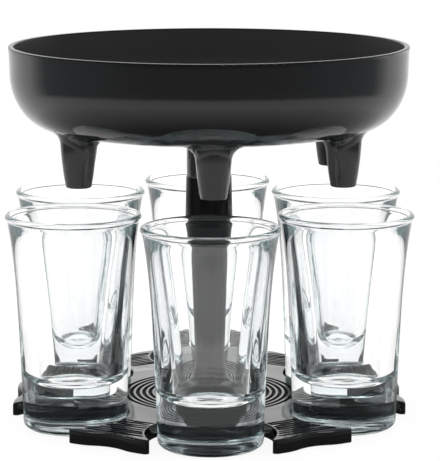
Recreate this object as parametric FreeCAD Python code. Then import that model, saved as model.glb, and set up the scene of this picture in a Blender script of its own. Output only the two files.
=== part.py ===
"""Party shot dispenser: a shallow bowl with six pouring spouts turns on top of a
slender column, which stands on a six-armed base plate.  A shot glass stands in each
notch of the plate, under its own spout, and draws straight out between two arms.

Millimetres.  The origin is on the table, on the axis of the column; +Z is up and the
front glass stands towards -Y.  Angles run from the front towards +X.
"""
import FreeCAD
import Part

import math
import os

from FreeCAD import Vector

# ------------------------------------------------------------------ driving sizes
PLACES = 6                    # glasses, notches, arms and spouts round the axis

# glass: heavy-based shot glass, a little flared, with a bead at the rim
GLASS_H = 76.5
GLASS_RIM_R = 24.0            # outside of the bead
GLASS_BEAD_R = 1.15           # half the thickness of the bead
GLASS_NECK_R = 23.3           # outside just below the bead
GLASS_FOOT_R = 18.4
GLASS_FOOT_ROUND = 2.5
GLASS_LOW_FLARE = 0.9         # what the outside gains over its lower third
GLASS_MID_FLARE = 1.6         # and over its next third
GLASS_DIMPLE_R = 11.0         # dimple in the underside
GLASS_DIMPLE = 0.8
GLASS_BASE_T = 16.0           # solid glass under the drink
GLASS_WALL_TOP = 2.0
GLASS_WELL_R = 13.0           # inside, where the wall meets the rounded floor
GLASS_WELL_ROUND = 5.0
GLASS_WELL_LOW_FLARE = 2.0    # what the inside gains over its lower third
GLASS_WELL_TOP_FLARE = 4.6    # and up to just under the neck
GLASS_GAP = 0.4               # from a glass's foot to the bottom of its notch
GLASS_MOUTH = 0.6             # from a glass's foot to the arms' tips, before they are rounded

# base plate: hollow underneath, with a boss under the column and one on each arm
PLATE_LIFT = 0.4              # held off the table by the pads
PLATE_T = 4.8
PLATE_WALL = 1.8
PLATE_SKIN = 2.4              # top skin over the hollow
NOTCH_ROOM = 4.15             # radius of a notch over that of a glass's foot
NOTCH_PITCH_R = 59.05         # from the column's axis to the centre of a notch
NOTCH_EDGE_ROUND = 0.45
ARM_DIP = 2.2                 # depth of the hollow in the end of an arm
ARM_DIP_HALF = 11.6           # half its width
ARM_TIP_ROUND = 1.4           # seen from above
ARM_END_ROUND = 1.5           # over the top edge of the end
HUB_R = 14.0                  # boss under the column
HUB_SKIN = 1.6                # plate left over the washer's well
RING_OUTER_R = 30.8           # ring grooves round the column
RING_COUNT = 6
RIB_FIRST_R = 50.2            # straight grooves across each arm
RIB_COUNT = 8
GROOVE_PITCH = 2.3
GROOVE_W = 1.4                # across its mouth
GROOVE_FLOOR_W = 0.7
GROOVE_DEPTH = 0.6
GROOVE_BORDER = 0.9           # smooth edge left beside a notch

# pads pressed into the underside of the arms
PAD_R = 5.0
PAD_T = 1.5
PAD_PITCH_R = 60.5
PAD_BOSS_WALL = 1.3
PAD_CLEAR = 0.05

# column: tapered tube with a flared foot and a spigot on top
COLUMN_H = 80.3               # from the plate to the shoulder
COLUMN_TOP_R = 8.25
COLUMN_LOW_R = 9.8            # just above the flare
COLUMN_BORE_R = 6.2
COLUMN_ROOF = 3.0             # solid plastic under the shoulder
FLARE_R = 12.0
FLARE_DEG = 60.0
FOOT_EDGE = 1.4
LOCATOR_H = 3.0               # ring on the plate that centres the column
LOCATOR_WALL = 1.6
COLUMN_FIT = 0.05
SPIGOT_R = 4.8
SPIGOT_H = 25.0
SPIGOT_BORE_R = 2.4
SPIGOT_ROOF = 2.0
SPIGOT_CHAMFER = 0.8
KEY_HALF = 4.1                # half the width over the top flats that stop the bush turning
KEY_H = 4.6

# screw and washer that hold the column down
SCREW_R = 2.0
SCREW_L = 15.0
SCREW_HEAD_R = 3.6
SCREW_HEAD_H = 2.0
SCREW_SLOT = 0.9
SCREW_BOSS_WALL = 2.0
SCREW_FIT = 0.03
SCREW_CLEAR = 0.2
WASHER_R = 5.0
WASHER_T = 0.8
WASHER_WELL_CLEAR = 0.4
SCREW_WEB_T = 3.0             # floor in the column that carries the screw boss
SCREW_WEB_LIFT = 2.0          # from the locator up to that floor

# swivel bush, its clip and the grip ring in the spigot
RUN = 0.04                    # running clearance on the radius
THRUST = 0.05                 # clearance of the faces that turn on each other
BUSH_WALL = 1.4
BUSH_FLANGE_T = 1.2
BUSH_FLANGE_OUT = 0.75
CLIP_T = 0.8
CLIP_DEEP = 0.5               # depth of the groove for the clip
CLIP_OUT = 1.6
CLIP_GAP_DEG = 40.0
BUSH_LIP = 1.2                # bush above the clip
GRIP_CORD_R = 0.55
GRIP_FROM_TOP = 6.0
GRIP_CLEAR = 0.02

# bowl
BOWL_TURN = 1.1               # degrees that the bowl has been left turned to the right
BOSS_H = 17.5                 # from the column's shoulder up to the underside
BOWL_H = 30.1                 # underside to rim
BOWL_WALL = 1.8
BOWL_FLAT_IN = 11.6           # flat part of the underside, short of the spouts' axes
BOWL_DRAW_OUT = 6.4           # the curve draws this far past those axes before it rises
BOWL_SIDE_REACH = 17.9        # and meets the side this far past them
BOWL_SIDE_H = 20.8            # height of that place above the underside
BOWL_SIDE_OUT = 0.25          # draft of the side up to the lip
BOWL_CURVE_UP = 15.1          # how far up the side the curve still pulls
LIP_H = 1.5
LIP_OUT = 0.15
LIP_ROUND = 0.45
BOSS_R = 8.05                 # boss under the bowl, down to the column's shoulder
BOSS_GAP = 0.4
STANDPIPE_H = 5.5             # wall round the hub, above the floor
STANDPIPE_WALL = 1.8

# spouts
SPOUT_SET_IN = 1.7            # nearer to the column than the axis of the glass below
SPOUT_TIP_R = 4.6
SPOUT_MID_R = 5.8
SPOUT_ROOT_R = 6.45
SPOUT_L = 17.4                # below the bowl's underside
SPOUT_TIP_ROUND = 0.7
SPOUT_FILLET = 5.0
SPOUT_BORE_TIP_R = 2.5
SPOUT_BORE_TOP_R = 2.8
DRAIN_R = 5.2                 # countersink in the bowl's floor
DRAIN_DEPTH = 1.6

# pour dome over the hub
DOME_R = 21.0
DOME_H = 13.2
DOME_WALL = 1.6
DOME_EDGE = 1.0
DOME_TIP_R = 5.0
DOME_TIP_DROP = 1.1
DOME_SAG = 1.2                # hollow of the flank
DOME_SKIRT_CLEAR = 0.1
DOME_SKIRT_WALL = 1.2
SEAL_W = 1.6
SEAL_T = 1.0
SEAL_PROUD = 0.15
SEAL_FROM_EDGE = 1.0
SEAL_FIT = 0.05

# ---------------------------------------------------------------- derived places
STEP = 360.0 / PLACES
AXIS = Vector(0, 0, 1)
ORIGIN = Vector(0, 0, 0)
PLATE_TOP = PLATE_LIFT + PLATE_T
NOTCH_R = GLASS_FOOT_R + NOTCH_ROOM
GLASS_PITCH_R = NOTCH_PITCH_R - NOTCH_ROOM + GLASS_GAP
MOUTH_HALF = GLASS_FOOT_R + GLASS_MOUTH
MOUTH_ALONG = NOTCH_PITCH_R + math.sqrt(NOTCH_R ** 2 - MOUTH_HALF ** 2)
SHOULDER_Z = PLATE_TOP + COLUMN_H
SPIGOT_TOP = SHOULDER_Z + SPIGOT_H
BOWL_FLOOR_Z = SHOULDER_Z + BOSS_H
SPOUT_PITCH_R = GLASS_PITCH_R - SPOUT_SET_IN
BOWL_FLAT_R = SPOUT_PITCH_R - BOWL_FLAT_IN
BOWL_DRAW_R = SPOUT_PITCH_R + BOWL_DRAW_OUT
BOWL_SIDE_R = SPOUT_PITCH_R + BOWL_SIDE_REACH
BOWL_INNER_Z = BOWL_FLOOR_Z + BOWL_WALL
RIM_Z = BOWL_FLOOR_Z + BOWL_H
BUSH_IN_R = SPIGOT_R + RUN
BUSH_OUT_R = BUSH_IN_R + BUSH_WALL
HUB_BORE_R = BUSH_OUT_R + RUN
FLANGE_TOP = SHOULDER_Z + BUSH_FLANGE_T
FLANGE_R = BUSH_OUT_R + BUSH_FLANGE_OUT
STANDPIPE_Z = BOWL_INNER_Z + STANDPIPE_H
STANDPIPE_R = HUB_BORE_R + STANDPIPE_WALL
CLIP_Z = STANDPIPE_Z + THRUST
LOCATOR_R = COLUMN_BORE_R - COLUMN_FIT
SCREW_HEAD_Z = PLATE_TOP - HUB_SKIN - WASHER_T


# ------------------------------------------------------------------ small helpers
def polar(r, deg, z=0.0):
    """Point at r from the axis, deg round from the front."""
    a = math.radians(deg)
    return Vector(r * math.sin(a), -r * math.cos(a), z)


def section(r, z):
    """Point of a half section."""
    return Vector(r, 0, z)


def line(p, q):
    return Part.LineSegment(p, q).toShape()


def arc(p, mid, q):
    return Part.Arc(p, mid, q).toShape()


def curve(*poles):
    bezier = Part.BezierCurve()
    bezier.setPoles(list(poles))
    return bezier.toShape()


def chain(*points):
    """Straight edges from point to point."""
    return [line(p, q) for p, q in zip(points, points[1:])]


def quarter(centre, r, start_deg, end_deg):
    """Arc in the half section, angles measured from the outward direction."""
    points = []
    for deg in (start_deg, 0.5 * (start_deg + end_deg), end_deg):
        a = math.radians(deg)
        points.append(section(centre.x + r * math.cos(a), centre.z + r * math.sin(a)))
    return arc(*points)


def turned(edges):
    """Solid of revolution about the Z axis."""
    return Part.Face(Part.Wire(edges)).revolve(ORIGIN, AXIS, 360)


def ring(r_in, r_out, z_low, z_high):
    """Plain ring or, with no inner radius, a disc."""
    outer = Part.makeCylinder(r_out, z_high - z_low, Vector(0, 0, z_low))
    if r_in <= 0:
        return outer
    return outer.cut(Part.makeCylinder(r_in, z_high - z_low, Vector(0, 0, z_low)))


def spun(shape, deg):
    """Copy turned about the Z axis."""
    copy = shape.copy()
    copy.rotate(ORIGIN, AXIS, deg)
    return copy


def spun_point(point, deg):
    """Point turned about the Z axis."""
    a = math.radians(deg)
    return Vector(point.x * math.cos(a) - point.y * math.sin(a),
                  point.x * math.sin(a) + point.y * math.cos(a), point.z)


def moved(shape, offset):
    copy = shape.copy()
    copy.translate(offset)
    return copy


def round_place(shape, r, deg):
    """Copy stood at r from the axis, deg round from the front."""
    return spun(moved(shape, Vector(0, -r, 0)), deg)


def one_solid(shape):
    """The single solid that a boolean leaves inside its compound."""
    return shape.removeSplitter().Solids[0]


# ------------------------------------------------------------------------- glass
def glass():
    """Shot glass on its own axis: flared wall, beaded rim, thick foot."""
    bead_z = GLASS_H - GLASS_BEAD_R
    bead = section(GLASS_RIM_R - GLASS_BEAD_R, bead_z)
    neck = section(GLASS_NECK_R, bead_z - GLASS_BEAD_R)
    foot = section(GLASS_FOOT_R, GLASS_FOOT_ROUND)
    height = neck.z - foot.z
    outside = curve(foot, section(GLASS_FOOT_R + GLASS_LOW_FLARE, foot.z + 0.38 * height),
                    section(GLASS_FOOT_R + GLASS_MID_FLARE, foot.z + 0.76 * height), neck)
    low = section(GLASS_WELL_R, GLASS_BASE_T + GLASS_WELL_ROUND)
    top = section(GLASS_NECK_R - GLASS_WALL_TOP, neck.z)
    rise = top.z - low.z
    inside = curve(top, section(low.x + GLASS_WELL_TOP_FLARE, low.z + 0.88 * rise),
                   section(low.x + GLASS_WELL_LOW_FLARE, low.z + 0.4 * rise), low)
    profile = [
        quarter(section(GLASS_FOOT_R - GLASS_FOOT_ROUND, GLASS_FOOT_ROUND), GLASS_FOOT_ROUND, -90, 0),
        outside,
        line(neck, section(GLASS_RIM_R - 0.3 * GLASS_BEAD_R, bead_z - 0.8 * GLASS_BEAD_R)),
        arc(section(GLASS_RIM_R - 0.3 * GLASS_BEAD_R, bead_z - 0.8 * GLASS_BEAD_R),
            section(GLASS_RIM_R, bead_z), section(bead.x, GLASS_H)),
        arc(section(bead.x, GLASS_H),
            section(bead.x - 0.75 * GLASS_BEAD_R, bead_z + 0.6 * GLASS_BEAD_R), top),
        inside,
        quarter(section(low.x - GLASS_WELL_ROUND, low.z), GLASS_WELL_ROUND, 0, -90),
        line(section(low.x - GLASS_WELL_ROUND, GLASS_BASE_T), section(0, GLASS_BASE_T)),
        line(section(0, GLASS_BASE_T), section(0, GLASS_DIMPLE)),
        arc(section(0, GLASS_DIMPLE),
            section(0.5 * GLASS_DIMPLE_R, 0.75 * GLASS_DIMPLE), section(GLASS_DIMPLE_R, 0)),
        line(section(GLASS_DIMPLE_R, 0), section(GLASS_FOOT_R - GLASS_FOOT_ROUND, 0)),
    ]
    return turned(profile)


# -------------------------------------------------------------------- base plate
def arm_reach():
    """From the column's axis out along an arm to its lobes."""
    half_step = math.radians(STEP / 2)
    return MOUTH_ALONG * math.cos(half_step) + MOUTH_HALF * math.sin(half_step)


def arm_end(deg, half):
    """Edges of one arm's end, this far to either side: straight lobes beside a hollow."""
    reach = arm_reach()
    bend = (ARM_DIP_HALF ** 2 + ARM_DIP ** 2) / (4 * ARM_DIP)
    turn = 0.5 * math.asin(0.5 * ARM_DIP_HALF / bend)
    lobe = (ARM_DIP_HALF - bend * math.sin(turn), reach - bend * (1 - math.cos(turn)))
    middle = (0.5 * ARM_DIP_HALF, reach - 0.5 * ARM_DIP)

    def place(x, along):
        return spun_point(Vector(x, -along, 0), deg)

    return [line(place(-half, reach), place(-ARM_DIP_HALF, reach)),
            arc(place(-ARM_DIP_HALF, reach), place(-lobe[0], lobe[1]), place(-middle[0], middle[1])),
            arc(place(-middle[0], middle[1]), place(0, reach - ARM_DIP), place(*middle)),
            arc(place(*middle), place(*lobe), place(ARM_DIP_HALF, reach)),
            line(place(ARM_DIP_HALF, reach), place(half, reach))]


def plate_outline():
    """Six notches and six hollowed arm ends, tips rounded, as a slab's shape."""
    tip_r = math.hypot(MOUTH_ALONG, MOUTH_HALF)
    mouth = math.atan2(MOUTH_HALF, MOUTH_ALONG)
    half = tip_r * math.sin(math.radians(STEP / 2) - mouth)
    edges = []
    for k in range(PLACES):
        a = k * STEP
        edges.append(arc(polar(tip_r, a - math.degrees(mouth)), polar(NOTCH_PITCH_R - NOTCH_R, a),
                         polar(tip_r, a + math.degrees(mouth))))
        edges += arm_end(a + STEP / 2, half)
    slab = Part.Face(Part.Wire(edges)).extrude(Vector(0, 0, PLATE_T))
    tips = [e for e in slab.Edges if e.BoundBox.DiagonalLength < PLATE_T + 1e-3
            and abs(math.hypot(e.BoundBox.XMin, e.BoundBox.YMin) - tip_r) < 1e-3]
    return moved(slab.makeFillet(ARM_TIP_ROUND, tips), Vector(0, 0, PLATE_LIFT))


def rounded_ends():
    """Slab as far as the arms reach all round, without notches, its top edge well rounded."""
    edges = []
    for k in range(PLACES):
        edges += arm_end((k + 0.5) * STEP, arm_reach() * math.tan(math.radians(STEP / 2)))
    slab = Part.Face(Part.Wire(edges)).extrude(Vector(0, 0, PLATE_T))
    top_face = max(slab.Faces, key=lambda f: f.CenterOfMass.z)
    return moved(slab.makeFillet(ARM_END_ROUND, top_face.Edges), Vector(0, 0, PLATE_LIFT))


def groove_section(at):
    """Drafted section of a groove, cut down from the plate's top, this far out."""
    mouth, floor = GROOVE_W / 2, GROOVE_FLOOR_W / 2
    return chain(section(at - mouth, PLATE_TOP), section(at + mouth, PLATE_TOP),
                 section(at + floor, PLATE_TOP - GROOVE_DEPTH),
                 section(at - floor, PLATE_TOP - GROOVE_DEPTH), section(at - mouth, PLATE_TOP))


def rib_grooves():
    """Straight grooves across every arm, ending short of the notches."""
    grooves = []
    half_step = math.radians(STEP / 2)
    aside = NOTCH_PITCH_R * math.sin(half_step)
    along = NOTCH_PITCH_R * math.cos(half_step)
    keep_off = NOTCH_R + GROOVE_BORDER
    for i in range(RIB_COUNT):
        r = RIB_FIRST_R + i * GROOVE_PITCH
        half = aside - math.sqrt(max(keep_off ** 2 - (r - along) ** 2, 0.0))
        bar = Part.Face(Part.Wire(groove_section(r))).extrude(Vector(0, 2 * half, 0))
        bar.translate(Vector(0, -half, 0))
        grooves += [spun(bar, (k + 0.5) * STEP - 90) for k in range(PLACES)]
    return grooves


def ring_grooves():
    """Round grooves in the plate's top, all round the column."""
    return [turned(groove_section(RING_OUTER_R - i * GROOVE_PITCH)) for i in range(RING_COUNT)]


def base_plate():
    slab = plate_outline()
    top_face = max(slab.Faces, key=lambda f: f.CenterOfMass.z)
    slab = slab.makeFillet(NOTCH_EDGE_ROUND, top_face.Edges).common(rounded_ends())

    under = min(plate_outline().Faces, key=lambda f: f.CenterOfMass.z)
    hollow = under.makeOffset2D(-PLATE_WALL).extrude(Vector(0, 0, PLATE_T - PLATE_SKIN))
    pad_boss = ring(0, PAD_R + PAD_CLEAR + PAD_BOSS_WALL, PLATE_LIFT, PLATE_TOP)
    keep = [ring(0, HUB_R, PLATE_LIFT, PLATE_TOP)]
    keep += [round_place(pad_boss, PAD_PITCH_R, (k + 0.5) * STEP) for k in range(PLACES)]
    hollow = hollow.cut(keep)
    slab = slab.cut(hollow)

    locator = ring(LOCATOR_R - LOCATOR_WALL, LOCATOR_R, PLATE_TOP, PLATE_TOP + LOCATOR_H)
    slab = slab.fuse(locator)

    pad_seat = ring(0, PAD_R + PAD_CLEAR, PLATE_LIFT, PAD_T)
    screw_hole = ring(0, SCREW_R + SCREW_CLEAR, PLATE_LIFT, PLATE_TOP)
    washer_well = ring(0, WASHER_R + WASHER_WELL_CLEAR, PLATE_LIFT, SCREW_HEAD_Z + WASHER_T)
    cuts = [screw_hole, washer_well]
    cuts += [round_place(pad_seat, PAD_PITCH_R, (k + 0.5) * STEP) for k in range(PLACES)]
    cuts += rib_grooves() + ring_grooves()
    return one_solid(slab.cut(cuts))


def foot_pad():
    """Soft round pad, its lower edge eased."""
    pad = ring(0, PAD_R, 0, PAD_T)
    rim = [e for e in pad.Edges if e.BoundBox.ZMax < 1e-6]
    return pad.makeFillet(0.2 * PAD_T, rim)


# ------------------------------------------------------------------------ column
def key_flats(r, half, z_low, z_high):
    """Round stub cut to two flats."""
    flats = Part.makeBox(2 * half, 4 * r, z_high - z_low, Vector(-half, -2 * r, z_low))
    return ring(0, r, z_low, z_high).common(flats)


def column():
    flare_end = math.radians(FLARE_DEG)
    foot_r = COLUMN_LOW_R + FLARE_R * (1 - math.cos(flare_end))
    flare_low = PLATE_TOP + FOOT_EDGE
    flare_top = flare_low + FLARE_R * math.sin(flare_end)
    flare_mid = section(COLUMN_LOW_R + FLARE_R * (1 - math.cos(flare_end / 2)),
                        flare_top - FLARE_R * math.sin(flare_end / 2))
    profile = chain(section(0, PLATE_TOP), section(foot_r, PLATE_TOP), section(foot_r, flare_low))
    profile.append(arc(section(foot_r, flare_low), flare_mid, section(COLUMN_LOW_R, flare_top)))
    profile += chain(section(COLUMN_LOW_R, flare_top), section(COLUMN_TOP_R, SHOULDER_Z),
                     section(SPIGOT_R, SHOULDER_Z), section(SPIGOT_R, SPIGOT_TOP - SPIGOT_CHAMFER),
                     section(SPIGOT_R - SPIGOT_CHAMFER, SPIGOT_TOP), section(0, SPIGOT_TOP),
                     section(0, PLATE_TOP))
    body = turned(profile)

    web_low = PLATE_TOP + LOCATOR_H + SCREW_WEB_LIFT
    web_top = web_low + SCREW_WEB_T
    boss_r = SCREW_R + SCREW_FIT + SCREW_BOSS_WALL
    boss_top = SCREW_HEAD_Z + WASHER_T + SCREW_L + SCREW_BOSS_WALL
    lower_hollow = ring(boss_r, COLUMN_BORE_R, PLATE_TOP, web_low)
    upper_hollow = ring(boss_r, COLUMN_BORE_R, web_top, boss_top)
    open_hollow = ring(0, COLUMN_BORE_R, boss_top, SHOULDER_Z - COLUMN_ROOF)
    spigot_hollow = ring(0, SPIGOT_BORE_R, SHOULDER_Z - COLUMN_ROOF, SPIGOT_TOP - SPIGOT_ROOF)
    screw_core = ring(0, SCREW_R + SCREW_FIT, PLATE_TOP, boss_top - SCREW_BOSS_WALL + SCREW_FIT)
    locator_room = ring(0, boss_r, PLATE_TOP, PLATE_TOP + COLUMN_FIT)

    key = ring(0, SPIGOT_R, SPIGOT_TOP - KEY_H, SPIGOT_TOP)
    key = key.cut(key_flats(SPIGOT_R, KEY_HALF, SPIGOT_TOP - KEY_H, SPIGOT_TOP))
    grip_z = SPIGOT_TOP - GRIP_FROM_TOP
    grip_groove = ring(SPIGOT_R - 2 * GRIP_CORD_R, SPIGOT_R + RUN,
                       grip_z - GRIP_CORD_R - GRIP_CLEAR, grip_z + GRIP_CORD_R + GRIP_CLEAR)
    return one_solid(body.cut([lower_hollow, upper_hollow, open_hollow, spigot_hollow,
                               screw_core, locator_room, key, grip_groove]))


def base_screw():
    """Pan-head screw with a cross recess, driven up into the column."""
    seat = SCREW_HEAD_Z
    head = ring(0, SCREW_HEAD_R, seat - SCREW_HEAD_H, seat)
    low_edge = [e for e in head.Edges if e.BoundBox.ZMax < seat - SCREW_HEAD_H + 1e-6]
    head = head.makeFillet(0.4 * SCREW_HEAD_H, low_edge)
    shank = ring(0, SCREW_R, seat, seat + WASHER_T + SCREW_L)
    tip_edge = [e for e in shank.Edges if e.BoundBox.ZMin > seat + SCREW_L]
    shank = shank.makeChamfer(0.45 * SCREW_R, [e for e in tip_edge if e.BoundBox.ZLength < 1e-6])
    reach = 1.1 * SCREW_R
    slot = Part.makeBox(2 * reach, SCREW_SLOT, 0.6 * SCREW_HEAD_H,
                        Vector(-reach, -SCREW_SLOT / 2, seat - SCREW_HEAD_H))
    return one_solid(head.fuse(shank).cut([slot, spun(slot, 90)]))


def base_washer():
    return ring(SCREW_R + SCREW_FIT, WASHER_R, SCREW_HEAD_Z, SCREW_HEAD_Z + WASHER_T)


def grip_ring():
    """Soft ring in the spigot's groove; it steadies the bush."""
    r = SPIGOT_R + RUN - GRIP_CLEAR - GRIP_CORD_R
    return Part.makeTorus(r, GRIP_CORD_R, Vector(0, 0, SPIGOT_TOP - GRIP_FROM_TOP), AXIS)


# --------------------------------------------------------------- swivel of the bowl
def swivel_bush():
    """Flanged sleeve, keyed to the spigot; the bowl turns on its outside."""
    bush_top = CLIP_Z + CLIP_T + THRUST + BUSH_LIP
    sleeve = ring(0, BUSH_OUT_R, SHOULDER_Z, bush_top)
    flange = ring(0, FLANGE_R, SHOULDER_Z, FLANGE_TOP)
    key_low = SPIGOT_TOP - KEY_H + THRUST
    bore = ring(0, BUSH_IN_R, SHOULDER_Z, key_low)
    key_bore = key_flats(BUSH_IN_R, KEY_HALF + RUN, key_low, bush_top)
    groove = ring(BUSH_OUT_R - CLIP_DEEP, BUSH_OUT_R, CLIP_Z - THRUST / 2, CLIP_Z + CLIP_T + THRUST / 2)
    return one_solid(sleeve.fuse(flange).cut([bore, key_bore, groove]))


def retaining_clip():
    """Open spring ring that keeps the bowl on its bush."""
    clip = ring(BUSH_OUT_R - CLIP_DEEP + RUN, BUSH_OUT_R + CLIP_OUT, CLIP_Z, CLIP_Z + CLIP_T)
    reach = 2 * (BUSH_OUT_R + CLIP_OUT)
    half_gap = CLIP_GAP_DEG / 2
    opening = Part.Face(Part.Wire(chain(Vector(0, 0, CLIP_Z), polar(reach, -half_gap, CLIP_Z),
                                        polar(reach, half_gap, CLIP_Z), Vector(0, 0, CLIP_Z))))
    return one_solid(clip.cut(opening.extrude(Vector(0, 0, CLIP_T))))


# -------------------------------------------------------------------------- bowl
def bowl_wall(offset):
    """Curve and side of the bowl, drawn this far inside its outer surface."""
    floor = BOWL_FLOOR_Z + offset
    side_z = BOWL_FLOOR_Z + BOWL_SIDE_H
    side_r = BOWL_SIDE_R - offset
    lip_r = side_r + BOWL_SIDE_OUT
    draw = section(BOWL_DRAW_R - 0.4 * offset, floor)
    bend = curve(section(BOWL_FLAT_R, floor), draw, draw,
                 section(side_r, side_z - BOWL_CURVE_UP + 0.4 * offset), section(side_r, side_z))
    return bend, section(side_r, side_z), section(lip_r, RIM_Z - LIP_H), floor


def bowl_blank():
    """Outside of the bowl and its boss, still solid."""
    bend, side, under_lip, floor = bowl_wall(0)
    lip_r = under_lip.x + LIP_OUT
    boss_low = SHOULDER_Z + BOSS_GAP
    profile = chain(section(0, RIM_Z), section(0, boss_low), section(BOSS_R, boss_low),
                    section(BOSS_R, floor), section(BOWL_FLAT_R, floor))
    profile.append(bend)
    profile += chain(side, under_lip, section(lip_r, under_lip.z), section(lip_r, RIM_Z - LIP_ROUND))
    profile.append(quarter(section(lip_r - LIP_ROUND, RIM_Z - LIP_ROUND), LIP_ROUND, 0, 90))
    profile += chain(section(lip_r - LIP_ROUND, RIM_Z), section(0, RIM_Z))
    return turned(profile)


def bowl_hollow():
    """Room inside the bowl, round the standpipe."""
    bend, side, under_lip, floor = bowl_wall(BOWL_WALL)
    top = section(under_lip.x, RIM_Z - LIP_ROUND)
    profile = chain(section(0, RIM_Z), section(0, STANDPIPE_Z), section(STANDPIPE_R, STANDPIPE_Z),
                    section(STANDPIPE_R, floor), section(BOWL_FLAT_R, floor))
    profile.append(bend)
    profile += chain(side, under_lip, top)
    profile.append(quarter(section(top.x + LIP_ROUND, top.z), LIP_ROUND, 180, 90))
    profile += chain(section(top.x + LIP_ROUND, RIM_Z), section(0, RIM_Z))
    return turned(profile)


def spout():
    """One spout on its own axis, running up into the bowl's floor."""
    tip_z = BOWL_FLOOR_Z - SPOUT_L
    top_z = BOWL_FLOOR_Z + 3 * BOWL_WALL
    round_top = tip_z + SPOUT_TIP_ROUND
    profile = chain(section(0, top_z), section(0, tip_z), section(SPOUT_TIP_R - SPOUT_TIP_ROUND, tip_z))
    profile.append(quarter(section(SPOUT_TIP_R - SPOUT_TIP_ROUND, round_top), SPOUT_TIP_ROUND, -90, 0))
    root_z = BOWL_INNER_Z
    middle = section(SPOUT_MID_R, 0.5 * (round_top + BOWL_FLOOR_Z))
    profile.append(arc(section(SPOUT_TIP_R, round_top), middle, section(SPOUT_ROOT_R, root_z)))
    profile += chain(section(SPOUT_ROOT_R, root_z), section(SPOUT_ROOT_R, top_z), section(0, top_z))
    return turned(profile)


def spout_bore():
    """Drain and bore of one spout, on its own axis; the drain's cone meets the rising floor."""
    tip_z = BOWL_FLOOR_Z - SPOUT_L
    neck_z = BOWL_INNER_Z - DRAIN_DEPTH
    top = section(2 * DRAIN_R - SPOUT_BORE_TOP_R, BOWL_INNER_Z + DRAIN_DEPTH)
    profile = chain(section(0, top.z), section(0, tip_z), section(SPOUT_BORE_TIP_R, tip_z),
                    section(SPOUT_BORE_TOP_R, neck_z), top, section(0, top.z))
    return turned(profile)


def spout_roots(blank):
    """Edges where the spouts meet the bowl: the only free-form ones that sit round a spout's axis."""
    roots = []
    for edge in blank.Edges:
        if not isinstance(edge.Curve, Part.BSplineCurve):
            continue
        middle = edge.valueAt(0.5 * (edge.FirstParameter + edge.LastParameter))
        axes = [polar(SPOUT_PITCH_R, k * STEP, middle.z) for k in range(PLACES)]
        if min(middle.distanceToPoint(point) for point in axes) < SPOUT_ROOT_R + BOWL_WALL:
            roots.append(edge)
    return roots


def bowl():
    at = [k * STEP for k in range(PLACES)]
    blank = one_solid(bowl_blank().fuse([round_place(spout(), SPOUT_PITCH_R, a) for a in at]))
    blank = blank.makeFillet(SPOUT_FILLET, spout_roots(blank))

    hub_bore = ring(0, HUB_BORE_R, SHOULDER_Z, STANDPIPE_Z)
    flange_room = ring(0, FLANGE_R + RUN, SHOULDER_Z, FLANGE_TOP + THRUST)
    edge_out = DOME_R - SEAL_FROM_EDGE
    seal_groove = ring(edge_out - SEAL_W - SEAL_FIT, edge_out + SEAL_FIT,
                       BOWL_INNER_Z - SEAL_T + SEAL_PROUD, BOWL_INNER_Z)
    cuts = [bowl_hollow(), hub_bore, flange_room, seal_groove]
    cuts += [round_place(spout_bore(), SPOUT_PITCH_R, a) for a in at]
    return spun(one_solid(blank.cut(cuts)), BOWL_TURN)


def dome_seal():
    """Flat soft ring between the dome and the bowl's floor."""
    edge_out = DOME_R - SEAL_FROM_EDGE
    low = BOWL_INNER_Z - SEAL_T + SEAL_PROUD
    return ring(edge_out - SEAL_W, edge_out, low, low + SEAL_T)


def dome_body(foot_r, drop):
    """Solid dome: a hollowed flank up from its foot, then a round crown; drop lowers the top."""
    base = section(0, BOWL_INNER_Z + SEAL_PROUD)
    edge = section(foot_r, base.z + DOME_EDGE)
    apex = section(0, base.z + DOME_H - drop)
    tip = section(DOME_TIP_R, apex.z - DOME_TIP_DROP)
    flank = section(0.5 * (edge.x + tip.x), 0.5 * (edge.z + tip.z) - DOME_SAG)
    crown_r = (DOME_TIP_R ** 2 + DOME_TIP_DROP ** 2) / (2 * DOME_TIP_DROP)
    crown_deg = math.degrees(math.asin(DOME_TIP_R / crown_r))
    profile = chain(base, section(foot_r, base.z), edge)
    profile.append(arc(edge, flank, tip))
    profile.append(quarter(section(0, apex.z - crown_r), crown_r, 90 - crown_deg, 90))
    profile.append(line(apex, base))
    return turned(profile)


def pour_dome():
    """Snap-on cover of the hub that spreads the drink towards the drains."""
    outside = dome_body(DOME_R, 0)
    inside = dome_body(DOME_R - 2 * SEAL_FROM_EDGE - SEAL_W, DOME_WALL)
    skirt_in = STANDPIPE_R + DOME_SKIRT_CLEAR
    skirt_low = BOWL_INNER_Z + SEAL_PROUD + DOME_EDGE
    skirt = ring(skirt_in, skirt_in + DOME_SKIRT_WALL, skirt_low, skirt_low + DOME_H)
    return one_solid(outside.cut(inside).fuse(skirt.common(outside)))


# ------------------------------------------------------------------------- export
def build():
    """Every piece at its place, by name."""
    pieces = {
        "base_plate": base_plate(),
        "column": column(),
        "base_screw": base_screw(),
        "base_washer": base_washer(),
        "grip_ring": grip_ring(),
        "swivel_bush": swivel_bush(),
        "retaining_clip": retaining_clip(),
        "bowl": bowl(),
        "dome_seal": dome_seal(),
        "pour_dome": pour_dome(),
    }
    for k in range(PLACES):
        pieces["foot_pad_%d" % (k + 1)] = round_place(foot_pad(), PAD_PITCH_R, (k + 0.5) * STEP)
        pieces["glass_%d" % (k + 1)] = round_place(glass(), GLASS_PITCH_R, k * STEP)
    return pieces


os.makedirs("parts", exist_ok=True)
for name, shape in build().items():
    shape.exportStep("parts/%s.step" % name)
    box = shape.BoundBox
    print("%-15s valid %s  solids %d  volume %8.1f  z %.2f to %.2f"
          % (name, shape.isValid(), len(shape.Solids), shape.Volume, box.ZMin, box.ZMax))
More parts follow.
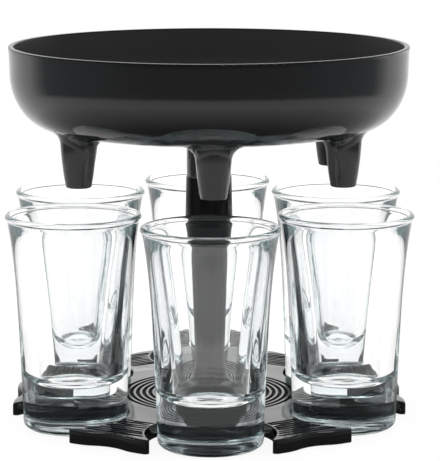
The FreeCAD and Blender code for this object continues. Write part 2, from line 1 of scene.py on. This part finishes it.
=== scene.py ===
"""Finish of a party shot dispenser: a bowl with six spouts that turns on a column, over a
notched base plate with a shot glass in each notch.  Metres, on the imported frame: the origin
is on the table under the column, +Z is up and the front glass stands towards -Y.
"""
import math

import bmesh
import bpy
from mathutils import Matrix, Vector


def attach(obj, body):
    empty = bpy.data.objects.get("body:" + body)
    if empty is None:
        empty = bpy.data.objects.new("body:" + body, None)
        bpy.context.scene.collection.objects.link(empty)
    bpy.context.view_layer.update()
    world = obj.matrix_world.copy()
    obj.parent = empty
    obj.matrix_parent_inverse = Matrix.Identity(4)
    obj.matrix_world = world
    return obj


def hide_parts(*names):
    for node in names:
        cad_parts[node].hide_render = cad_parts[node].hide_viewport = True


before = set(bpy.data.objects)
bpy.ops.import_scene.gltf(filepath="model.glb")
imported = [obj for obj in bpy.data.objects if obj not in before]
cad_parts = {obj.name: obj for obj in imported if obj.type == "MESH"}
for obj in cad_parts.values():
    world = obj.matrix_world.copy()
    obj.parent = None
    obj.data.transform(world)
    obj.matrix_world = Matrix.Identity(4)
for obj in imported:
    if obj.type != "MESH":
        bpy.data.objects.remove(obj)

bpy.context.view_layer.update()


# ---------------------------------------------------------------------- foot pads
# Six soft rubber discs, die cut with an eased lower edge and pressed into the bosses
# under the arms.  They are the only pieces of the stand that touch the table.
MM = 0.001
PLACES = 6
STEP = 360.0 / PLACES
SAME_POINT = 0.0005 * MM
PAD_R = 5.0 * MM
PAD_T = 1.5 * MM
PAD_EASE = 0.3 * MM
PAD_PITCH_R = 60.5 * MM


class Value:
    """A node's output that adds its own Math nodes when it is used in a sum."""

    def __init__(self, graph, socket):
        self.graph = graph
        self.socket = socket

    def math(self, operation, *values):
        inputs = dict(enumerate(values))
        return self.graph.add("ShaderNodeMath", {"operation": operation}, inputs)

    def out(self, name):
        return Value(self.graph, self.socket.node.outputs[name])

    def __add__(self, other):
        return self.math("ADD", self, other)

    def __radd__(self, other):
        return self.math("ADD", other, self)

    def __sub__(self, other):
        return self.math("SUBTRACT", self, other)

    def __rsub__(self, other):
        return self.math("SUBTRACT", other, self)

    def __mul__(self, other):
        return self.math("MULTIPLY", self, other)

    def __rmul__(self, other):
        return self.math("MULTIPLY", other, self)

    def __truediv__(self, other):
        return self.math("DIVIDE", self, other)

    def over(self, edge, width):
        """0 below the edge, 1 above it, over this width."""
        ramp = (self - edge) / width
        return ramp.math("SMOOTH_MIN", ramp.math("MAXIMUM", ramp, 0), 1, 0.1)


class Graph:
    """A node tree that is written with one call for each node."""

    def __init__(self, tree):
        self.tree = tree

    def add(self, kind, settings=None, inputs=None):
        node = self.tree.nodes.new(kind)
        for key, value in (settings or {}).items():
            setattr(node, key, value)
        for key, value in (inputs or {}).items():
            socket = node.inputs[key]
            if isinstance(value, Value):
                self.tree.links.new(value.socket, socket)
            else:
                socket.default_value = value
        return Value(self, node.outputs[0]) if node.outputs else None

    def mix(self, factor, first, second):
        """Colours blended by a factor."""
        node = self.add("ShaderNodeMix", {"data_type": "RGBA"},
                        {"Factor": factor, 6: first, 7: second})
        return Value(self, node.socket.node.outputs[2])


def finish(name):
    """A new material's graph, emptied, and the material."""
    material = bpy.data.materials.new(name)
    material.use_nodes = True
    material.node_tree.nodes.clear()
    return material, Graph(material.node_tree)


def surface(graph, inputs, volume=None):
    """Closes a graph with the principled shader."""
    shader = graph.add("ShaderNodeBsdfPrincipled", None, inputs)
    ends = {"Surface": shader}
    if volume is not None:
        ends["Volume"] = volume
    graph.add("ShaderNodeOutputMaterial", None, ends)


def soft_rubber():
    """Matt black rubber with a fine tooth from its mould and a little dust in it."""
    material, g = finish("soft_rubber")
    at = g.add("ShaderNodeTexCoord").out("Object")
    tooth = g.add("ShaderNodeTexNoise", None, {"Vector": at, "Scale": 2600.0, "Detail": 3.0})
    cloud = g.add("ShaderNodeTexNoise", None, {"Vector": at, "Scale": 220.0, "Detail": 2.0})
    shade = g.mix(cloud, (0.012, 0.012, 0.012, 1), (0.030, 0.029, 0.028, 1))
    relief = g.add("ShaderNodeBump", None,
                   {"Strength": 0.5, "Distance": 0.05 * MM, "Height": tooth})
    surface(g, {"Base Color": shade, "Roughness": 0.62 + 0.25 * cloud, "Normal": relief,
                "Specular IOR Level": 0.35})
    return material


def turning_tree():
    """Nodes that turn a half section, drawn in X and Z, and stand copies of it in a ring."""
    tree = bpy.data.node_groups.new("turned_ring", "GeometryNodeTree")
    for label, kind in (("Section", "Geometry"), ("Columns", "Int"), ("Places", "Int"),
                        ("Pitch", "Float"), ("First", "Float"), ("Finish", "Material")):
        tree.interface.new_socket(label, in_out="INPUT", socket_type="NodeSocket" + kind)
    tree.interface.new_socket("Skin", in_out="OUTPUT", socket_type="NodeSocketGeometry")
    g = Graph(tree)
    given = g.add("NodeGroupInput")
    section, columns = given.out("Section"), given.out("Columns")
    rows = g.add("GeometryNodeAttributeDomainSize", {"component": "MESH"}, {"Geometry": section})
    grid = g.add("GeometryNodeMeshGrid", None,
                 {"Size X": 1.0, "Size Y": 1.0, "Vertices X": columns + 1, "Vertices Y": rows})
    index = g.add("GeometryNodeInputIndex")
    row = index.math("MODULO", index, rows)
    column = index.math("FLOOR", (index + 0.5) / rows)
    place = g.add("GeometryNodeInputPosition")
    drawn = g.add("GeometryNodeSampleIndex", {"data_type": "FLOAT_VECTOR", "domain": "POINT"},
                  {"Geometry": section, "Value": place, "Index": row})
    drawn = g.add("ShaderNodeSeparateXYZ", None, {"Vector": drawn})
    r, z = drawn.out("X"), drawn.out("Z")
    turn = column * math.tau / columns
    ring = g.add("ShaderNodeCombineXYZ", None, {"X": r * turn.math("COSINE", turn),
                                                "Y": r * turn.math("SINE", turn), "Z": z})
    skin = g.add("GeometryNodeSetPosition", None, {"Geometry": grid, "Position": ring})
    skin = g.add("GeometryNodeMergeByDistance", None, {"Geometry": skin, "Distance": SAME_POINT})
    bearing = given.out("First") + index * math.tau / given.out("Places")
    to_right = given.out("Pitch") * bearing.math("SINE", bearing)
    to_front = given.out("Pitch") * bearing.math("COSINE", bearing)
    stand = g.add("ShaderNodeCombineXYZ", None, {"X": to_right, "Y": 0 - to_front})
    points = g.add("GeometryNodePoints", None, {"Count": given.out("Places"), "Position": stand})
    copies = g.add("GeometryNodeInstanceOnPoints", None, {"Points": points, "Instance": skin})
    copies = g.add("GeometryNodeRealizeInstances", None, {"Geometry": copies})
    copies = g.add("GeometryNodeSetMaterial", None,
                   {"Geometry": copies, "Material": given.out("Finish")})
    g.add("NodeGroupOutput", None, {"Skin": copies})
    return tree


def arc_run(centre, r, start_deg, end_deg, steps):
    """Points of a half section along an arc; angles from the outward direction."""
    run = []
    for i in range(steps + 1):
        a = math.radians(start_deg + (end_deg - start_deg) * i / steps)
        run.append((centre[0] + r * math.cos(a), centre[1] + r * math.sin(a)))
    return run


def bend_run(poles, steps):
    """Points along a Bezier curve."""
    run = [Vector(pole) for pole in poles]
    points = []
    for i in range(steps + 1):
        t = i / steps
        level = run
        while len(level) > 1:
            level = [p.lerp(q, t) for p, q in zip(level, level[1:])]
        points.append(tuple(level[0]))
    return points


def smooth_between(mesh, crease_deg):
    """Shades a mesh smooth, but keeps its edges crisp past this angle."""
    mesh.shade_smooth()
    mesh.set_sharp_from_angle(angle=math.radians(crease_deg))


TURNING = turning_tree()


def turned(name, section, material, columns, places=1, pitch=0.0, first_deg=0.0, crease_deg=35):
    """A piece turned from a half section of (r, z) points, or a ring of such pieces."""
    outline = bpy.data.meshes.new(name + "_section")
    points = section[:1]
    points += [q for p, q in zip(section, section[1:]) if math.dist(p, q) > 2 * SAME_POINT]
    edges = [(i, i + 1) for i in range(len(points) - 1)]
    outline.from_pydata([(r, 0, z) for r, z in points], edges, [])
    maker = bpy.data.objects.new(name + "_maker", outline)
    bpy.context.scene.collection.objects.link(maker)
    nodes = maker.modifiers.new("turn", "NODES")
    nodes.node_group = TURNING
    values = {"Columns": columns, "Places": places, "Pitch": pitch,
              "First": math.radians(first_deg), "Finish": material}
    for socket in TURNING.interface.items_tree:
        if socket.name in values:
            nodes[socket.identifier] = values[socket.name]
    graph = bpy.context.evaluated_depsgraph_get()
    mesh = bpy.data.meshes.new_from_object(maker.evaluated_get(graph))
    maker.modifiers.remove(nodes)
    bpy.data.objects.remove(maker)
    bm = bmesh.new()
    bm.from_mesh(mesh)
    bmesh.ops.remove_doubles(bm, verts=bm.verts, dist=SAME_POINT)
    bmesh.ops.recalc_face_normals(bm, faces=bm.faces)
    for face in bm.faces:
        face.material_index = 0
    bm.to_mesh(mesh)
    bm.free()
    mesh.materials.clear()
    mesh.materials.append(material)
    smooth_between(mesh, crease_deg)
    piece = bpy.data.objects.new(name, mesh)
    bpy.context.scene.collection.objects.link(piece)
    return piece


RUBBER = soft_rubber()
pad_section = [(0, PAD_T), (PAD_R, PAD_T)]
pad_section += arc_run((PAD_R - PAD_EASE, PAD_EASE), PAD_EASE, 0, -90, steps=5)
pad_section.append((0, 0))
pads = turned("foot_pads", pad_section, RUBBER, columns=64, places=PLACES, pitch=PAD_PITCH_R,
              first_deg=STEP / 2)
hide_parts(*["foot_pad_%d" % (k + 1) for k in range(PLACES)])
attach(pads, "stand")


# --------------------------------------------------------------------- base plate
# Injection-moulded black plastic, polished: six arms round a disc, a notch for a glass
# between each two, and a hollow underside.  The grooves in its top are matt, and the ribs
# that they leave across the arms are rounded.
PLATE_TOP = 5.2 * MM
GROOVE_DEPTH = 0.6 * MM
RIBS_FROM = 40.0 * MM
RIB_ROUND = 0.42 * MM
RIB_SEGMENTS = 3
TOP_FACES_UP = 0.99
WALL_FACES_UP = (0.40, 0.60)
MATT_FACES_UP = (0.45, 0.70)
HAIR = 0.01 * MM
WELD = 0.0001 * MM
CREASE_DEG = 28


def black_plastic(name, least_rough, peel_mm, low_shade, high_shade, shine=0.5):
    """Black plastic: a trace of orange peel, hairline scratches and settled dust."""
    material, g = finish(name)
    at = g.add("ShaderNodeTexCoord").out("Object")
    handled = g.add("ShaderNodeTexNoise", None, {"Vector": at, "Scale": 60.0, "Detail": 3.0})
    peel = g.add("ShaderNodeTexNoise", None, {"Vector": at, "Scale": 420.0, "Detail": 1.0})
    along = g.add("ShaderNodeMapping", {"vector_type": "TEXTURE"},
                  {"Vector": at, "Rotation": (0.4, 0.9, 0.6), "Scale": (0.06, 1.0, 1.0)})
    hair = g.add("ShaderNodeTexNoise", None, {"Vector": along, "Scale": 420.0, "Detail": 2.0})
    hair = hair.over(0.66, 0.04)
    dust = g.add("ShaderNodeTexVoronoi", None, {"Vector": at, "Scale": 900.0, "Randomness": 1.0})
    dust = 1 - dust.over(0.06, 0.05)
    shade = g.mix(handled, low_shade, high_shade)
    shade = g.mix(0.06 * dust, shade, (0.30, 0.29, 0.28, 1))
    relief = g.add("ShaderNodeBump", None,
                   {"Strength": 0.12, "Distance": peel_mm * MM, "Height": peel})
    rough = least_rough + 0.05 * handled + 0.06 * hair + 0.20 * dust
    surface(g, {"Base Color": shade, "Roughness": rough, "Normal": relief, "IOR": 1.50,
                "Specular IOR Level": shine})
    return material


def welded(node, body, material):
    """A CAD node's skin, welded and smooth-shaded, in place of the loose triangles."""
    mesh = bpy.data.meshes.new(node + "_skin")
    bm = bmesh.new()
    bm.from_mesh(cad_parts[node].data)
    bmesh.ops.remove_doubles(bm, verts=bm.verts, dist=WELD)
    for face in bm.faces:
        face.material_index = 0
    bm.to_mesh(mesh)
    bm.free()
    mesh.attributes.remove(mesh.attributes["custom_normal"])
    mesh.materials.append(material)
    smooth_between(mesh, CREASE_DEG)
    piece = bpy.data.objects.new(node + "_skin", mesh)
    bpy.context.scene.collection.objects.link(piece)
    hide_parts(node)
    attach(piece, body)
    return piece


def is_brink(edge):
    """Whether an edge lies between the plate's top and the wall of a groove across an arm."""
    for vert in edge.verts:
        if abs(vert.co.z - PLATE_TOP) > HAIR or vert.co.xy.length < RIBS_FROM:
            return False
    slopes = sorted(face.normal.z for face in edge.link_faces)
    if len(slopes) != 2 or slopes[1] < TOP_FACES_UP:
        return False
    return WALL_FACES_UP[0] < slopes[0] < WALL_FACES_UP[1]


def rounded_ribs(mesh):
    """Rounds the edges of the grooves that cross the arms."""
    bm = bmesh.new()
    bm.from_mesh(mesh)
    flat = math.radians(1)
    bmesh.ops.dissolve_limit(bm, angle_limit=flat, verts=bm.verts, edges=bm.edges)
    brinks = [edge for edge in bm.edges if is_brink(edge)]
    bmesh.ops.bevel(bm, geom=brinks, offset=RIB_ROUND, segments=RIB_SEGMENTS, profile=0.5,
                    affect="EDGES")
    bm.to_mesh(mesh)
    bm.free()
    smooth_between(mesh, CREASE_DEG)


def is_matt(face):
    """Whether a face is the floor or the wall of a groove, and not a rib's polished shoulder."""
    depth = PLATE_TOP - face.center.z
    if abs(depth - GROOVE_DEPTH) < HAIR:
        return True
    return HAIR < depth < GROOVE_DEPTH and MATT_FACES_UP[0] < face.normal.z < MATT_FACES_UP[1]


BLACK = black_plastic("polished_black", 0.06, 0.02,
                      (0.0034, 0.0035, 0.0039, 1), (0.0056, 0.0057, 0.0061, 1))
MATT = black_plastic("matt_black", 0.50, 0.03,
                     (0.0030, 0.0030, 0.0032, 1), (0.0044, 0.0044, 0.0046, 1), shine=0.05)
plate = welded("base_plate", "stand", BLACK)
rounded_ribs(plate.data)
plate.data.materials.append(MATT)
for face in plate.data.polygons:
    if is_matt(face):
        face.material_index = 1


# ----------------------------------------------------------- column's screw and washer
# A zinc-plated pan-head screw with a cross recess, turned up into the column from under
# the plate, over a stamped washer.
TURNED_RING_PITCH = 0.12 * MM


def zinc_plate():
    """Zinc-plated steel: turned rings under a thin, cloudy plating."""
    material, g = finish("zinc_plate")
    at = g.add("ShaderNodeTexCoord").out("Object")
    parts = g.add("ShaderNodeSeparateXYZ", None, {"Vector": at})
    x, y = parts.out("X"), parts.out("Y")
    radius = x.math("SQRT", x * x + y * y)
    ring = radius.math("SINE", radius * (math.tau / TURNED_RING_PITCH))
    cloud = g.add("ShaderNodeTexNoise", None, {"Vector": at, "Scale": 900.0, "Detail": 3.0})
    shade = g.mix(cloud, (0.46, 0.47, 0.49, 1), (0.66, 0.65, 0.62, 1))
    relief = g.add("ShaderNodeBump", None,
                   {"Strength": 0.25, "Distance": 0.01 * MM, "Height": ring + cloud})
    surface(g, {"Base Color": shade, "Metallic": 1.0, "Roughness": 0.26 + 0.18 * cloud,
                "Normal": relief})
    return material


ZINC = zinc_plate()
welded("base_screw", "stand", ZINC)
welded("base_washer", "stand", ZINC)


# ------------------------------------------------------------------------- column
# A slender tapered tube of a duller black plastic, flared at its foot, with a keyed
# spigot on top that the bowl's bush slips over.
DULL = black_plastic("dull_black", 0.16, 0.02,
                     (0.0030, 0.0031, 0.0034, 1), (0.0048, 0.0049, 0.0052, 1), shine=0.08)
welded("column", "stand", DULL)


# ---------------------------------------------------------------------- grip ring
# A moulded ring of soft rubber, rolled over the spigot into its groove.  It takes up the
# play between the spigot and the bush.
welded("grip_ring", "stand", RUBBER)


# --------------------------------------------------------------------- swivel bush
# A flanged sleeve, injection moulded in natural nylon and keyed to the spigot.  The hub of
# the bowl turns on its outside.
def natural_nylon():
    """Milky, slightly waxy nylon with faint flow lines."""
    material, g = finish("natural_nylon")
    at = g.add("ShaderNodeTexCoord").out("Object")
    flow = g.add("ShaderNodeTexNoise", None, {"Vector": at, "Scale": 260.0, "Detail": 4.0})
    shade = g.mix(flow, (0.74, 0.72, 0.65, 1), (0.84, 0.83, 0.78, 1))
    relief = g.add("ShaderNodeBump", None,
                   {"Strength": 0.2, "Distance": 0.02 * MM, "Height": flow})
    surface(g, {"Base Color": shade, "Roughness": 0.36 + 0.14 * flow, "Normal": relief,
                "Subsurface Weight": 0.25, "Subsurface Radius": (1.2 * MM, 1.0 * MM, 0.8 * MM)})
    return material


NYLON = natural_nylon()
welded("swivel_bush", "bowl_mount", NYLON)


# ------------------------------------------------------------------ retaining clip
# An open ring, bent from zinc-plated spring steel and snapped into the bush's groove.  It
# keeps the bowl's hub from lifting off the bush.
welded("retaining_clip", "bowl_mount", ZINC)


# --------------------------------------------------------------------------- bowl
# One black moulding: shallow bowl with a beaded lip, six tapered spouts that run into
# the underside in full fillets, and a boss that hides the bush.  It is polished outside,
# satin inside and dull along the top of its lip.  Inside, its black is painted about eight
# times lighter than outside, as painted light.
LIP_Z = 132.2 * MM
INSIDE_LEAN = 0.05
# Painted light: the satin's base colour is about eight times lighter than the polished black, so
# the bowl's inside reads brighter.
SATIN_PAINTED_LIGHT = black_plastic("satin_black_painted_light", 0.38, 0.03,
                      (0.029, 0.029, 0.029, 1), (0.036, 0.036, 0.036, 1))
bowl = welded("bowl", "bowl", BLACK)
bowl.data.materials.append(SATIN_PAINTED_LIGHT)
bowl.data.materials.append(DULL)
for face in bowl.data.polygons:
    facing_out = face.normal.xy.dot(face.center.xy.normalized())
    lowest = min(bowl.data.vertices[i].co.z for i in face.vertices)
    if lowest > LIP_Z:
        face.material_index = 2
    elif face.normal.z > INSIDE_LEAN or facing_out < -INSIDE_LEAN:
        face.material_index = 1


# ---------------------------------------------------------------------- dome seal
# A flat ring, die cut from soft rubber sheet and laid in a groove of the bowl's floor.  The
# rim of the pour dome rests on it, which keeps the hub dry.
welded("dome_seal", "bowl", RUBBER)


# ---------------------------------------------------------------------- pour dome
# A hollow cover, moulded in the bowl's own plastic and snapped over its hub.  The drink
# runs down it and spreads to the six drains.
# Painted light: the dome takes the satin's lighter base colour, not the plain black of its
# plastic.
welded("pour_dome", "bowl", SATIN_PAINTED_LIGHT)


# ------------------------------------------------------------------------- glasses
# Six pressed shot glasses of clear soda-lime glass, fire polished: a solid foot with a
# dimple under it, a wall that opens towards the mouth and a round bead at the rim.
GLASS_H = 76.5 * MM
GLASS_RIM_R = 24.0 * MM
GLASS_BEAD_R = 1.15 * MM
GLASS_NECK_R = 23.3 * MM
GLASS_FOOT_R = 18.4 * MM
GLASS_FOOT_ROUND = 2.5 * MM
GLASS_LOW_FLARE = 0.9 * MM
GLASS_LOW_AT = 0.38
GLASS_MID_FLARE = 1.6 * MM
GLASS_MID_AT = 0.76
GLASS_DIMPLE_R = 11.0 * MM
GLASS_DIMPLE = 0.8 * MM
GLASS_BASE_T = 16.0 * MM
GLASS_WALL_TOP = 2.0 * MM
GLASS_WELL_R = 13.0 * MM
GLASS_WELL_ROUND = 5.0 * MM
GLASS_WELL_LOW_FLARE = 2.0 * MM
GLASS_WELL_LOW_AT = 0.40
GLASS_WELL_TOP_FLARE = 4.6 * MM
GLASS_WELL_TOP_AT = 0.88
GLASS_PITCH_R = 55.3 * MM
GLASS_COLUMNS = 192
DIMPLE_STEPS = 14
HEEL_STEPS = 12
WALL_STEPS = 48
BEAD_STEPS = 26
WELL_STEPS = 18
BEAD_FROM_DEG = -50
BEAD_TO_DEG = 205
STIPPLE_TOP = 0.85 * MM
STIPPLE_FADE = 0.5 * MM
STIPPLE_ROUGH = 0.16
HEEL_TOP = 2.2 * MM
HEEL_FADE = 2.5 * MM
HEEL_DENTS = 55
GLASS_BOUNCES = 32
GLASS_MIRRORINGS = 24


def clear_glass():
    """Clear pressed glass: wavy, most of all at its heel, bluish green where it is thick, and
    stippled underneath."""
    material, g = finish("pressed_glass")
    at = g.add("ShaderNodeTexCoord").out("Object")
    height = g.add("ShaderNodeSeparateXYZ", None, {"Vector": at}).out("Z")
    stippled = 1 - height.over(STIPPLE_TOP, STIPPLE_FADE)
    wave = g.add("ShaderNodeTexNoise", None, {"Vector": at, "Scale": 90.0, "Detail": 1.0})
    dent = g.add("ShaderNodeTexNoise", None, {"Vector": at, "Scale": 190.0, "Detail": 0.0})
    dent = dent * (1 - height.over(HEEL_TOP, HEEL_FADE))
    relief = g.add("ShaderNodeBump", None,
                   {"Strength": 0.10, "Distance": 0.15 * MM, "Height": wave + HEEL_DENTS * dent})
    tint = g.add("ShaderNodeVolumeAbsorption", None,
                 {"Color": (0.74, 0.87, 0.88, 1), "Density": 8.0})
    surface(g, {"Base Color": (0.99, 0.997, 1.0, 1), "Roughness": STIPPLE_ROUGH * stippled,
                "IOR": 1.52, "Transmission Weight": 1.0, "Normal": relief}, volume=tint)
    return material


def glass_section():
    """Half section of a glass, from the dimple out, up, over the bead and down the inside."""
    foot_top = GLASS_FOOT_ROUND
    bead_z = GLASS_H - GLASS_BEAD_R
    neck_z = bead_z - GLASS_BEAD_R
    height = neck_z - foot_top
    foot_in = GLASS_FOOT_R - GLASS_FOOT_ROUND
    dimple_r = (GLASS_DIMPLE_R ** 2 + GLASS_DIMPLE ** 2) / (2 * GLASS_DIMPLE)
    dimple_deg = math.degrees(math.asin(GLASS_DIMPLE_R / dimple_r))
    run = arc_run((0, GLASS_DIMPLE - dimple_r), dimple_r, 90, 90 - dimple_deg, DIMPLE_STEPS)
    run += arc_run((foot_in, foot_top), GLASS_FOOT_ROUND, -90, 0, HEEL_STEPS)
    run += bend_run([(GLASS_FOOT_R, foot_top),
                     (GLASS_FOOT_R + GLASS_LOW_FLARE, foot_top + GLASS_LOW_AT * height),
                     (GLASS_FOOT_R + GLASS_MID_FLARE, foot_top + GLASS_MID_AT * height),
                     (GLASS_NECK_R, neck_z)], WALL_STEPS)
    centre = GLASS_RIM_R - GLASS_BEAD_R
    run += arc_run((centre, bead_z), GLASS_BEAD_R, BEAD_FROM_DEG, BEAD_TO_DEG, BEAD_STEPS)
    well_z = GLASS_BASE_T + GLASS_WELL_ROUND
    rise = neck_z - well_z
    run += bend_run([(GLASS_NECK_R - GLASS_WALL_TOP, neck_z),
                     (GLASS_WELL_R + GLASS_WELL_TOP_FLARE, well_z + GLASS_WELL_TOP_AT * rise),
                     (GLASS_WELL_R + GLASS_WELL_LOW_FLARE, well_z + GLASS_WELL_LOW_AT * rise),
                     (GLASS_WELL_R, well_z)], WALL_STEPS)
    well_in = GLASS_WELL_R - GLASS_WELL_ROUND
    run += arc_run((well_in, well_z), GLASS_WELL_ROUND, 0, -90, WELL_STEPS)
    run.append((0, GLASS_BASE_T))
    return run


CLEAR = clear_glass()
for k in range(PLACES):
    name = "glass_%d" % (k + 1)
    glass = turned(name + "_clear", glass_section(), CLEAR, columns=GLASS_COLUMNS,
                   pitch=GLASS_PITCH_R, first_deg=k * STEP, crease_deg=60)
    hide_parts(name)
    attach(glass, name)

# Light runs to and fro inside a glass wall many times before it leaves again.
bpy.context.scene.cycles.max_bounces = GLASS_BOUNCES
bpy.context.scene.cycles.glossy_bounces = GLASS_MIRRORINGS
bpy.context.scene.cycles.transmission_bounces = GLASS_BOUNCES


# --------------------------------------------------------------- table and backdrop
# A plain white table against a white wall that curves a little way round the sides, in a
# small, dim studio.  The glasses stand in a brighter surround than the plastic, as if white
# cards had been held up behind and beside them under a dark ceiling.
TABLE_REACH = 0.47
TABLE_SOLID = 0.37
TABLE_WHITE = 0.85
TABLE_NEAR = 0.095
TABLE_OPEN = 0.26
TABLE_NEAR_SHADE = 0.20
TABLE_CARD = (0.93, 0.93, 0.93, 1)
TABLE_SHADE = (0, 0, 0, 1)
TABLE_GLOW = 1.05
ROOM_AMBIENT = 0.45
ROOM_FRONT = (0.14, 0.15, 0.16, 1)
ROOM_LOW_FRONT = (0.30, 0.30, 0.31, 1)
ROOM_SIDE = (0.34, 0.36, 0.37, 1)
ROOM_TOP = (0.40, 0.41, 0.42, 1)
ROOM_BACK = (1.30, 1.30, 1.30, 1)
CARD_FRONT = (0.06, 0.08, 0.085, 1)
CARD_SIDE = (0.68, 0.87, 0.89, 1)
CARD_BACK = (1.26, 1.22, 1.21, 1)
CARD_TOP = (0.05, 0.07, 0.075, 1)
LONG_WAY = (0.98, 1.12, 1.13, 1)
LONG_WAY_STARTS = (1, 3)
WHITE = (1, 1, 1, 1)

# Where one shade passes into the next: the edge and the width of the passage, measured as
# the share of a ray that points back or up.
ROOM_LOW_ENDS = (-0.19, 0.14)
ROOM_SIDE_STARTS = (-0.85, 0.50)
ROOM_TOP_STARTS = (0.35, 0.40)
ROOM_BACK_RISES = (0.0, 0.10)
ROOM_BACK_STARTS = (0.30, 0.25)
CARD_SIDE_STARTS = (-0.70, 0.50)
CARD_BACK_STARTS = (-0.05, 0.35)
CARD_TOP_STARTS = (0.08, 0.20)


def through_glass(g, path, straight):
    """A white as glass shows it: bluish green to light that ran to and fro inside a wall."""
    turns = path.out("Glossy Depth")
    return g.mix(turns.over(*LONG_WAY_STARTS), straight, LONG_WAY)


def white_table():
    """Matt white card, clear from below.  What looks at it, or through glass at it, sees it
    overexposed; what mirrors it finds it in deep shade close to the dispenser."""
    material, g = finish("white_table")
    path = g.add("ShaderNodeLightPath")
    beyond = path.out("Is Transmission Ray")
    lit = path.out("Is Camera Ray") + beyond
    lit = TABLE_WHITE * lit.math("MINIMUM", lit, 1)
    at = g.add("ShaderNodeTexCoord").out("Object")
    far = g.add("ShaderNodeVectorMath", {"operation": "LENGTH"}, {0: at})
    far = far.out("Value")
    # Painted shadow: close to the dispenser the card's colour is darkened towards black for rays
    # that mirror it.
    shaded = path.out("Is Glossy Ray") * (1 - far.over(TABLE_NEAR, TABLE_OPEN - TABLE_NEAR))
    card = g.mix(shaded * (1 - TABLE_NEAR_SHADE), TABLE_CARD, TABLE_SHADE)
    matt = g.add("ShaderNodeBsdfDiffuse", None, {"Color": card})
    seen = g.mix(beyond, WHITE, through_glass(g, path, CARD_BACK))
    white = g.add("ShaderNodeEmission", None, {"Color": seen, "Strength": TABLE_GLOW})
    lifted = g.add("ShaderNodeMixShader", None, {0: lit, 1: matt, 2: white})
    clear = g.add("ShaderNodeBsdfTransparent")
    below = g.add("ShaderNodeNewGeometry").out("Backfacing")
    fade = below + far.over(TABLE_SOLID, TABLE_REACH - TABLE_SOLID)
    faded = g.add("ShaderNodeMixShader", None,
                  {0: fade.math("MINIMUM", fade, 1), 1: lifted, 2: clear})
    g.add("ShaderNodeOutputMaterial", None, {"Surface": faded})
    return material


def direction(g):
    """How far a ray points to the back, between -1 and 1, and how far it points up."""
    toward = g.add("ShaderNodeTexCoord").out("Generated")
    toward = g.add("ShaderNodeSeparateXYZ", None, {"Vector": toward})
    x, y, z = toward.out("X"), toward.out("Y"), toward.out("Z")
    return y / (x.math("SQRT", x * x + y * y) + 0.0001), z


def mirrored_room(g):
    """What the plastic mirrors: white behind, dim to the sides and darker in front."""
    back, up = direction(g)
    front = g.mix(up.over(*ROOM_LOW_ENDS), ROOM_LOW_FRONT, ROOM_FRONT)
    room = g.mix(back.over(*ROOM_SIDE_STARTS), front, ROOM_SIDE)
    room = g.mix(up.over(*ROOM_TOP_STARTS), room, ROOM_TOP)
    wall = g.mix(up.over(*ROOM_BACK_RISES), WHITE, ROOM_BACK)
    return g.mix(back.over(*ROOM_BACK_STARTS), room, wall)


def refracted_room(g):
    """What the glasses show: white behind, pale blue-green cards beside, dark above."""
    back, up = direction(g)
    room = g.mix(back.over(*CARD_SIDE_STARTS), CARD_FRONT, CARD_SIDE)
    room = g.mix(back.over(*CARD_BACK_STARTS), room, CARD_BACK)
    return g.mix(up.over(*CARD_TOP_STARTS), room, CARD_TOP)


bm = bmesh.new()
bmesh.ops.create_circle(bm, cap_ends=True, segments=96, radius=TABLE_REACH)
table_mesh = bpy.data.meshes.new("table")
bm.to_mesh(table_mesh)
bm.free()
table_mesh.materials.append(white_table())
table = bpy.data.objects.new("table", table_mesh)
bpy.context.scene.collection.objects.link(table)

world = bpy.data.worlds.new("studio")
world.use_nodes = True
world.node_tree.nodes.clear()
w = Graph(world.node_tree)
path = w.add("ShaderNodeLightPath")
seen = w.mix(path.out("Is Transmission Ray"), mirrored_room(w), refracted_room(w))
seen = w.mix(path.out("Is Camera Ray"), seen, WHITE)
looks = path.out("Is Camera Ray") + path.out("Is Glossy Ray") + path.out("Is Transmission Ray")
ambient = w.add("ShaderNodeBackground", None, {"Color": WHITE, "Strength": ROOM_AMBIENT})
room = w.add("ShaderNodeBackground", None, {"Color": seen, "Strength": 1.0})
both = w.add("ShaderNodeMixShader", None,
             {0: looks.math("MINIMUM", looks, 1), 1: ambient, 2: room})
w.add("ShaderNodeOutputWorld", None, {"Surface": both})
bpy.context.scene.world = world


LAMP_AIM = Vector((0, 0, 0.07))


def soft_lamp(name, size, power, place, mirrored):
    """A square lamp that looks at the middle of the object."""
    light = bpy.data.lights.new(name, "AREA")
    light.shape = "SQUARE"
    light.size = size
    light.energy = power
    lamp = bpy.data.objects.new(name, light)
    lamp.location = place
    lamp.rotation_euler = (LAMP_AIM - Vector(place)).to_track_quat("-Z", "Y").to_euler()
    lamp.visible_glossy = mirrored
    bpy.context.scene.collection.objects.link(lamp)


soft_lamp("top_lamp", size=0.9, power=9.0, place=(0.0, 0.15, 1.1), mirrored=True)
soft_lamp("left_lamp", size=0.6, power=2.5, place=(-0.9, -0.5, 0.6), mirrored=False)
soft_lamp("right_lamp", size=0.6, power=2.0, place=(0.9, -0.4, 0.5), mirrored=False)


# ------------------------------------------------------------------------- camera
# A long lens from a little above the bowl's lip, looking down and turned half a degree off
# the front glass.  Its frame is shifted a little to one side.
CAMERA_FAR = 0.81535
CAMERA_UP = 0.20725
CAMERA_DOWN_DEG = 9.87
CAMERA_ROUND_DEG = -0.6
LENS_MM = 177.56
SENSOR_MM = 36.0
SHIFT_X = 0.0240

camera_data = bpy.data.cameras.new("camera")
camera_data.lens = LENS_MM
camera_data.sensor_width = SENSOR_MM
camera_data.shift_x = SHIFT_X
camera = bpy.data.objects.new("camera", camera_data)
around = math.radians(CAMERA_ROUND_DEG)
camera.location = (CAMERA_FAR * math.sin(around), -CAMERA_FAR * math.cos(around), CAMERA_UP)
camera.rotation_euler = (math.radians(90 - CAMERA_DOWN_DEG), 0, around)
bpy.context.scene.collection.objects.link(camera)
bpy.context.scene.camera = camera
bpy.context.scene.view_settings.view_transform = "Standard"
